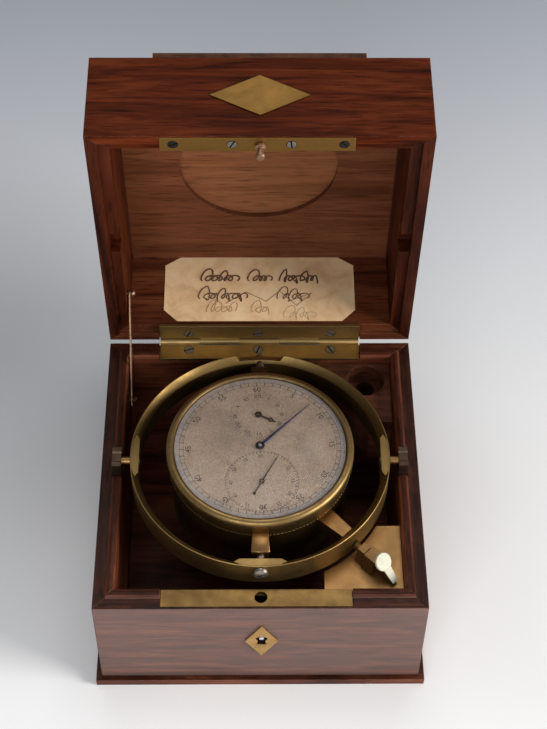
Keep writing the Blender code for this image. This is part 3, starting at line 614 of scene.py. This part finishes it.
def ticks(bm, centre, inner, outer, width, long_inner):
    """Adds 60 divisions round a centre, of which every fifth starts further in."""
    z0, z1 = DIAL_TOP - 0.02 * MM, DIAL_TOP + 0.04 * MM
    for i in range(60):
        start = inner if i % 5 else long_inner
        angle = 2 * math.pi * i / 60
        place = Matrix.Translation((*centre, 0)) @ Matrix.Rotation(math.pi / 2 - angle + DIAL_TURN, 4, "Z")
        outline_prism(rectangle(start, -width / 2, outer, width / 2), z0, z1, place, bm)


def circle_line(centre, radius, width):
    section = rectangle(radius - width / 2, DIAL_TOP - 0.02 * MM, radius + width / 2, DIAL_TOP + 0.03 * MM)
    return lathe(section, 120, True, (*centre, 0.0))


def numerals(words, centre, radius, size, name):
    """Engraved numerals: letters from Blender's own font, thickened and turned about the dial."""
    joined = bmesh.new()
    for i, word in enumerate(words):
        curve = bpy.data.curves.new(f"{name}_{i}", "FONT")
        curve.body = word
        curve.size = size
        curve.align_x = "CENTER"
        curve.align_y = "CENTER"
        curve.extrude = 0.02 * MM
        curve.resolution_u = 3
        holder = placed(curve.name, curve)
        mesh = baked(holder)
        angle = 2 * math.pi * i / len(words)
        x, y = on_dial(angle, radius, centre)
        place = Matrix.Translation((x, y, DIAL_TOP + 0.01 * MM)) @ Matrix.Rotation(DIAL_TURN - angle, 4, "Z")
        mesh.transform(place)
        joined.from_mesh(mesh)
        bpy.data.objects.remove(holder)
        bpy.data.meshes.remove(mesh)
    piece(name, joined, "ink", "bowl_body", smooth=False)


def dial():
    """The dial plate with its scales and generic numerals."""
    plate = lathe(rod(DIAL_R * MM, DIAL_TOP - DIAL_T, DIAL_TOP), 128)
    face = piece("dial_visual", plate, "dial", "bowl_body", ("dial",))
    middle, hour, seconds = (0, 0), HOUR_AT.to_2d(), SECONDS_AT.to_2d()
    for at, bore in ((middle, 1.7), (hour, 1.5), (seconds, 1.3)):
        cut_by(face, lathe(mm(rod(bore, 90, 110)), 24, False, (*at, 0)))
    marks = bmesh.new()
    ticks(marks, middle, 42.0 * MM, 44.2 * MM, 0.34 * MM, 41.4 * MM)
    ticks(marks, seconds, 18.5 * MM, 19.8 * MM, 0.3 * MM, 18.1 * MM)
    ticks(marks, hour, 15.0 * MM, 15.7 * MM, 0.24 * MM, 14.6 * MM)
    piece("dial_ticks", marks, "ink", "bowl_body", smooth=False)
    for name, centre, radius in (("minute_track_in", middle, 42.0), ("minute_track_out", middle, 44.2),
                                 ("seconds_track", seconds, 19.8)):
        piece(name, circle_line(centre, radius * MM, 0.16 * MM), "ink", "bowl_body", smooth=False)
    minutes = ["60"] + [str(5 * i) for i in range(1, 12)]
    numerals(minutes, middle, 39.2 * MM, 4.6 * MM, "minute_numerals")
    roman = ["XII", "I", "II", "III", "IIII", "V", "VI", "VII", "VIII", "IX", "X", "XI"]
    numerals(roman, hour, 12.8 * MM, 3.4 * MM, "hour_numerals")
    numerals(minutes, seconds, 16.6 * MM, 2.9 * MM, "seconds_numerals")


def blade(length, root, tip, at, angle, z0, z1, tail=0.0, tail_tip=0.0):
    """A flat hand that tapers from half-width root to half-width tip, with an optional tail."""
    points = [(0, -root), (length, -tip), (length, tip), (0, root)]
    if tail:
        points = [(-tail, -tail_tip), *points, (-tail, tail_tip)]
    place = Matrix.Translation((*at, 0)) @ Matrix.Rotation(angle, 4, "Z")
    return outline_prism(mm(points), z0 * MM, z1 * MM, place)


def along_hand(at, angle, distance):
    return at[0] + distance * MM * math.cos(angle), at[1] + distance * MM * math.sin(angle)


def ring_on(at, angle, distance, inner, outer, z0, z1):
    """A small ring on a hand, centred the given distance along it."""
    section = mm(rectangle(inner, z0, outer, z1))
    return lathe(section, 28, True, (*along_hand(at, angle, distance), 0))


def minute_hand():
    hub = mm([(0.95, 99.05), (2.5, 99.05), (2.6, 99.35), (2.1, 99.7), (0.95, 99.75)])
    piece("minute_hub", lathe(hub, 40, True), "black_steel", "minute_arbor")
    piece("minute_blade", blade(39.6, 0.8, 0.16, (0, 0), MINUTE_HAND, 99.15, 99.5), "blue", "minute_arbor",
          ("minute_hand",), bevel=0.06 * MM)
    tip = mm([(0, 98.9), (0.9, 98.9), (0.9, 99.75), (0, 99.8)])
    piece("minute_arbor_tip", lathe(tip, 24), "steel", "minute_arbor")


def hour_hand():
    """A short blade, a loop and a point."""
    at, low, high = HOUR_AT.to_2d(), 98.4, 98.75
    hub = mm([(0.8, 98.3), (1.9, 98.3), (1.9, 98.85), (0.8, 98.95)])
    piece("hour_hub", lathe(hub, 32, True, (*at, 0)), "black_steel", "hour_arbor")
    piece("hour_blade", blade(6.6, 0.55, 0.4, at, HOUR_HAND, low, high), "black_steel", "hour_arbor",
          ("hour_hand",), bevel=0.05 * MM)
    piece("hour_loop", ring_on(at, HOUR_HAND, 7.6, 0.7, 1.35, low, high), "black_steel", "hour_arbor")
    past_loop = along_hand(at, HOUR_HAND, 8.6)
    piece("hour_point", blade(2.6, 0.7, 0.08, past_loop, HOUR_HAND, low, high), "black_steel", "hour_arbor")


def seconds_hand():
    """A thin blade whose tail ends in a small ring."""
    at, low, high = SECONDS_AT.to_2d(), 98.4, 98.7
    piece("seconds_blade", blade(18.0, 0.4, 0.1, at, SECONDS_HAND, low, high, 8.4, 0.3), "black_steel",
          "seconds_arbor", ("seconds_hand",), bevel=0.04 * MM)
    hub = mm([(0.6, 98.3), (1.4, 98.3), (1.4, 98.85), (0.6, 98.9)])
    piece("seconds_hub", lathe(hub, 28, True, (*at, 0)), "black_steel", "seconds_arbor")
    piece("seconds_tail", ring_on(at, SECONDS_HAND, -8.8, 0.25, 0.8, low, high), "black_steel",
          "seconds_arbor")


# ---------------------------------------------------------------- fittings

def screw_head(radius, slot, turn, place, rise):
    """A flat head: two half discs with a slot between them."""
    bm = bmesh.new()
    for side in (1, -1):
        start = math.asin(slot / 2 / radius)
        points = []
        for i in range(13):
            angle = start + (math.pi - 2 * start) * i / 12
            points.append((radius * math.cos(angle), side * radius * math.sin(angle)))
        if side < 0:
            points.reverse()
        outline_prism(points, -0.4 * MM, rise, place @ Matrix.Rotation(turn, 4, "Z"), bm)
    return bm


def flat_screw(name, x, y, z, body, radius=2.6, turn=0.4, shut=False, look="dark_steel", rise=0.12):
    """A wood screw in a plate. shut marks one drawn in the closed lid, facing down."""
    place = Matrix.Translation((x * MM, y * MM, z))
    if shut:
        place = place @ Matrix.Rotation(math.pi, 4, "X")
    head = screw_head(radius * MM, 0.8 * MM, turn, place, rise * MM)
    # painted shade: a near-black ring round the head for the shaded gap it sits in
    ring_shade = outline_prism(mm(circle(radius + 0.28)), -0.3 * MM, 0.03 * MM, place)
    for suffix, bm, finish in (("", head, look), ("_painted_shade", ring_shade, "gap_shade")):
        piece(name + suffix, shut_to_open(bm) if shut else bm, finish, body, smooth=False)


def hinge_washers():
    """Thin brass rings that close the gaps between the hinge's five knuckles."""
    knuckles = 5
    across = Matrix.Rotation(math.pi / 2, 4, "Y")
    for i in range(1, knuckles):
        x = HINGE_HALF * (2 * i / knuckles - 1)
        ring = lathe(mm(rectangle(1.35, x - 0.14, 2.1, x + 0.14)), 32, True, HINGE, across)
        piece(f"hinge_washer_{i - 1}", ring, "guide", "tray")


def screws():
    """The screws of both hinge leaves, flush so that the lid can shut, and of the latch plate."""
    lower_y, upper_y, latch_y = 84.6, HALF_D / MM - 6.0, -83.4
    flush = 0.06
    for i, x in enumerate(HINGE_SCREWS_X):
        flat_screw(f"lower_hinge_screw_{i}", x, lower_y, LEAF_TOP, "tray", 2.7, 0.3 + 0.9 * i, rise=flush)
        flat_screw(f"upper_hinge_screw_{i}", x, upper_y, LEAF_UNDER, "lid", 2.7, 1.1 - 0.8 * i, True,
                   rise=flush)
    for i, x in enumerate(LATCH_SCREWS_X):
        look = "dark_steel" if i in (1, 2) else "black_steel"
        flat_screw(f"latch_plate_screw_{i}", x, latch_y, LID_Z - 0.06 * MM, "lid", 2.4, 0.5 + 0.6 * i, True,
                   look)


def hexahedron(lower, upper):
    """A block between two four-cornered faces."""
    bm = bmesh.new()
    low = [bm.verts.new(v) for v in lower]
    top = [bm.verts.new(v) for v in upper]
    bm.faces.new(low)
    bm.faces.new(top)
    for i in range(4):
        bm.faces.new((low[i], low[i - 1], top[i - 1], top[i]))
    return bm


def pivot_block():
    """The front pivot's holder: wide at its upper front edge, narrower at the bowl and downwards."""
    (_, y0, z0), (_, y1, _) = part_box("front_pivot_block")
    foot_y, foot_z = y0 + 0.4 * MM, z0 + 1.5 * MM
    knee_y, knee_z, back_z = y0 + 1.2 * MM, 89.6 * MM, 93.2 * MM
    lower = [(-3.6 * MM, foot_y, foot_z), (3.6 * MM, foot_y, foot_z), (3.4 * MM, y1, z0), (-3.4 * MM, y1, z0)]
    upper = [(-5.0 * MM, knee_y, knee_z), (5.0 * MM, knee_y, knee_z), (4.3 * MM, y1, back_z),
             (-4.3 * MM, y1, back_z)]
    block = piece("front_pivot_block_visual", hexahedron(lower, upper), "orange", "bowl_body",
                  ("front_pivot_block",), smooth=False, bevel=0.25 * MM)
    forward = Matrix.Rotation(math.pi / 2, 4, "X")
    cut_by(block, lathe(mm(rod(PIVOT_R + 0.35, 57.5, 70.0)), 24, False, AXLE, forward))


def pivot_screw(side, sign, shoulder, head):
    """A slotted screw that carries the bowl: its shank, with any shoulder, then its head."""
    outline = [(0, 58.6), (PIVOT_R, 58.6), *shoulder, (PIVOT_R, 71.7), *head, (0, 74.3)]
    outward = Matrix.Rotation(sign * math.pi / 2, 4, "X")
    screw = piece(f"{side}_pivot_screw_visual", lathe(mm(outline), 40, False, AXLE, outward), "screw_steel",
                  "ring", (f"{side}_pivot_screw",))
    place = Matrix.Translation(AXLE) @ outward @ Matrix.Rotation(0.35, 4, "Z")
    cut_by(screw, outline_prism(mm(rectangle(-5.0, -0.55, 5.0, 0.55)), 73.2 * MM, 75.0 * MM, place))


def pivot_screws():
    """The front screw has a wide domed head; the back one has a collar beside the bowl's block."""
    dome = [(4.2, 71.7), (4.2, 72.5), (3.8, 73.4), (2.8, 74.0), (1.4, 74.25)]
    pivot_screw("front", 1, [], dome)
    start = (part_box("back_pivot_block")[1][1] - AXLE.y) / MM + 0.15
    collar = [(PIVOT_R, start), (3.3, start), (3.3, start + 1.1), (2.9, start + 1.5), (PIVOT_R, start + 1.5)]
    pivot_screw("back", -1, collar, [(2.7, 71.7), (2.6, 73.3), (1.6, 74.1)])


def thumb_piece():
    """The gimbal lock's thumb disc and the tapered face of its lever, both pale: painted highlight for the
    key light's glare on them.
    """
    diagonal = Matrix.Rotation(-math.pi / 4, 4, "Z")
    tilt = Matrix.Rotation(math.pi / 4, 4, "Y")
    button = mm([(0, -1.25), (4.7, -1.25), (4.9, -1.0), (4.9, 0.1), (4.7, 0.3), (0, 0.35)])
    above = diagonal @ Matrix.Translation((92.0 * MM, 0, 84.1 * MM)) @ tilt
    piece("thumb_disc", lathe(button, 48, False, (0, 0, 0), above), "disc", "ring_lock")
    face = mm([(3.6, -2.5), (13.0, -1.75), (13.0, 1.75), (3.6, 2.5)])
    below = diagonal @ Matrix.Translation((92.2 * MM, 0, 83.9 * MM)) @ tilt
    lever = outline_prism(face, -0.7 * MM, 0.12 * MM, below)
    piece("thumb_lever_face", lever, "disc", "ring_lock", smooth=False, bevel=0.12 * MM)


def keyhole():
    """The escutcheon with a wide warded keyhole over a near-black sheet of painted shade, and the pin for the
    key's pipe.
    """
    (x0, y0, z0), (x1, y1, z1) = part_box("escutcheon")
    half, tall = (x1 - x0) / 2, (z1 - z0) / 2
    upright = Matrix.Translation((x0 + half, y1, z0 + tall)) @ Matrix.Rotation(math.pi / 2, 4, "X")
    lozenge = outline_prism([(-half, 0), (0, -tall), (half, 0), (0, tall)], 0.0, y1 - y0, upright)
    plate = piece("escutcheon_visual", lozenge, "lozenge", "tray", ("escutcheon",), smooth=False)
    ward = mirrored([(2.6, -3.6), (2.1, -0.4), (2.2, 0.9), (3.4, 2.2), (3.0, 3.4), (1.9, 4.3)])
    cut_by(plate, outline_prism(mm(ward), -1.0 * MM, 2.0 * MM, upright))
    plate.data.shade_flat()
    # painted shade: a near-black sheet behind the keyhole for its dark inside
    hole_shade = outline_prism(mm(rectangle(-3.6, -6.0, 3.6, 5.2)), 0.0, 0.12 * MM, upright)
    piece("keyhole_painted_shade", hole_shade, "gap_shade", "tray", smooth=False)
    pin = lathe(mm([(0, 0.05), (1.25, 0.05), (1.25, 0.5), (0.9, 0.66), (0, 0.7)]), 24, False, (0, 0, 0),
                upright @ Matrix.Translation((0.0, 2.3 * MM, 0.0)))
    piece("keyhole_pin", pin, "pin_steel", "tray")


# ---------------------------------------------------------------- label

def paper_label():
    """The pasted label on the lid's back wall, clipped at its four corners."""
    low, high, half = LID_Z / MM + 5.0, LID_Z / MM + 51.5, 56.3
    side = [(half - 8.0, low), (half, low + 8.0), (half, high - 6.0), (half - 9.0, high)]
    upright = Matrix.Translation((0, LABEL_WALL_Y - 0.02 * MM, 0)) @ Matrix.Rotation(math.pi / 2, 4, "X")
    sheet = outline_prism(mm(mirrored(side)), 0.0, 0.25 * MM, upright)
    piece("paper_label", shut_to_open(sheet), "paper", "lid", smooth=False)


def pen_line(name, points, width, look):
    """A pen stroke through (x, z) points in millimetres on the label's face, with the lid shut."""
    face_y = LABEL_WALL_Y - 0.3 * MM
    curve = bpy.data.curves.new(name, "CURVE")
    curve.dimensions = "3D"
    curve.bevel_depth = width * MM
    curve.bevel_resolution = 1
    line = curve.splines.new("POLY")
    line.points.add(len(points) - 1)
    for spot, (x, z) in zip(line.points, points):
        spot.co = (x * MM, face_y, LID_Z + z * MM, 1.0)
    holder = placed(name, curve)
    bm = bmesh.new()
    bm.from_mesh(baked(holder))
    bpy.data.objects.remove(holder)
    piece(name, shut_to_open(bm), look, "lid")


def scrawl(name, x0, baseline, letters, size, width, look, seed=0.0):
    """Joined loops and humps that look like a written word but spell nothing."""
    points = []
    steps = 14
    for i in range(letters):
        tall = 1.0 + (1.3 if i == 0 else 0.9) * (math.sin(seed + i * 2.4) > 0.55 or i == 0)
        dips = -0.9 if math.sin(seed * 1.7 + i * 3.1) > 0.8 else 0.0
        loop = 0.55 + 0.35 * math.sin(seed + i * 1.3)
        for j in range(steps):
            t = 2 * math.pi * j / steps
            rise = (1 - math.cos(t)) / 2 * size * tall + dips * size * max(0.0, -math.sin(t))
            x = x0 + (i + j / steps) * size * 0.86 - (loop + 0.35) * size * math.sin(t) * 0.55 + rise * 0.3
            points.append((x, baseline + rise))
    pen_line(name, points, width, look)


def label_writing():
    """Four lines of mock writing; baselines are heights above the lid's rim."""
    scrawl("label_word_1", -34.0, 34.0, 6, 3.9, 0.5, "brown_ink", 0.4)
    scrawl("label_word_2", -6.0, 34.0, 4, 3.6, 0.46, "brown_ink", 2.0)
    scrawl("label_word_3", 12.0, 34.0, 7, 3.7, 0.5, "brown_ink", 4.4)
    scrawl("label_word_4", -35.0, 21.0, 8, 3.9, 0.38, "brown_ink", 1.1)
    scrawl("label_word_5", 11.0, 21.0, 5, 3.8, 0.3, "brown_ink", 3.0)
    crossing = [(-20.0, 17.5), (-8.0, 26.0), (4.0, 19.0), (12.0, 26.5), (22.0, 16.0), (31.0, 25.0),
                (17.0, 19.0)]
    pen_line("label_crossing", crossing, 0.2, "brown_ink")
    scrawl("label_word_6", -31.0, 11.5, 5, 3.8, 0.2, "faded_ink", 5.2)
    scrawl("label_word_7", -4.0, 11.5, 3, 3.6, 0.18, "faded_ink", 0.9)
    scrawl("label_word_8", 15.0, 7.5, 5, 3.8, 0.12, "pencil", 2.6)


# ---------------------------------------------------------------- studio

def floor():
    """A sheet with painted light falloff that darkens away from the front, and two soft painted shadows
    beside the box.
    """
    bm = bmesh.new()
    bmesh.ops.create_grid(bm, x_segments=1, y_segments=1, size=6.0)
    mesh = bpy.data.meshes.new("floor")
    bm.to_mesh(mesh)
    bm.free()
    obj = placed("floor", mesh)
    look = Shader("studio_paper")
    depth = look.span(look.axis(look.place, "Y"), -0.35, 0.75)
    # painted light falloff: pale at the front, darker and bluer towards the back
    colour = look.ramp(depth, [(0.0, 0.99), (0.22, 0.95), (0.35, 0.79), (0.744, (0.43, 0.455, 0.5)),
                               (1.0, (0.22, 0.25, 0.3))])
    # painted shadows: two soft darker spots beside the box
    for spot, reach, tone in (((-0.17, 0.15, 0.0), 0.17, 0.76), ((0.16, -0.1, 0.0), 0.2, 0.84)):
        away = look.node("ShaderNodeVectorMath", operation="DISTANCE")
        look.link(look.place, away.inputs[0])
        away.inputs[1].default_value = spot
        painted_shadow = look.ramp(look.span(away.outputs["Value"], 0.0, reach), [(0.0, tone), (1.0, 1.0)])
        colour = look.mix(1.0, colour, painted_shadow, "MULTIPLY")
    look.set(Base_Color=colour, Roughness=0.9)
    mesh.materials.append(look.material)


def lamp(name, at, aim, size, power, colour=(1.0, 1.0, 1.0)):
    data = bpy.data.lights.new(name, "AREA")
    data.shape = "RECTANGLE"
    data.size, data.size_y = size
    data.energy = power
    data.color = colour
    obj = placed(name, data)
    obj.location = at
    obj.rotation_euler = (Vector(aim) - Vector(at)).to_track_quat("-Z", "Y").to_euler()


def studio():
    floor()
    target = (0.0, 0.0, 0.08)
    lamp("right_box", (1.35, -0.45, 0.62), target, (0.7, 0.7), 26.0, (1.0, 0.97, 0.93))
    lamp("overhead", (0.1, 0.6, 1.6), target, (1.0, 0.8), 6.0)
    lamp("front_fill", (-0.3, -1.5, 0.9), target, (1.0, 0.8), 12.0)
    world = bpy.data.worlds.new("studio_world")
    world.use_nodes = True
    backdrop = world.node_tree.nodes["Background"]
    backdrop.inputs["Color"].default_value = (0.8, 0.84, 0.9, 1.0)
    backdrop.inputs["Strength"].default_value = 0.3
    bpy.context.scene.world = world
    bpy.context.scene.view_settings.view_transform = "Standard"


def camera():
    data = bpy.data.cameras.new("main_view")
    data.sensor_fit = "VERTICAL"
    data.sensor_height = SENSOR
    data.lens = LENS
    data.clip_start = 0.01
    forward = Vector((math.sin(YAW) * math.cos(PITCH), math.cos(YAW) * math.cos(PITCH), -math.sin(PITCH)))
    level = Vector((math.cos(YAW), -math.sin(YAW), 0.0))
    raised = level.cross(forward)
    right = math.cos(ROLL) * level + math.sin(ROLL) * raised
    up = -math.sin(ROLL) * level + math.cos(ROLL) * raised
    obj = placed("main_view", data)
    turn = Matrix((right, up, -forward)).transposed().to_4x4()
    obj.matrix_world = Matrix.Translation(CAMERA_AT) @ turn
    bpy.context.scene.camera = obj


dress_frame()
gimbal_ring()
bowl()
dial()
minute_hand()
hour_hand()
seconds_hand()
hinge_washers()
screws()
pivot_block()
pivot_screws()
thumb_piece()
keyhole()
paper_label()
label_writing()
studio()
camera()
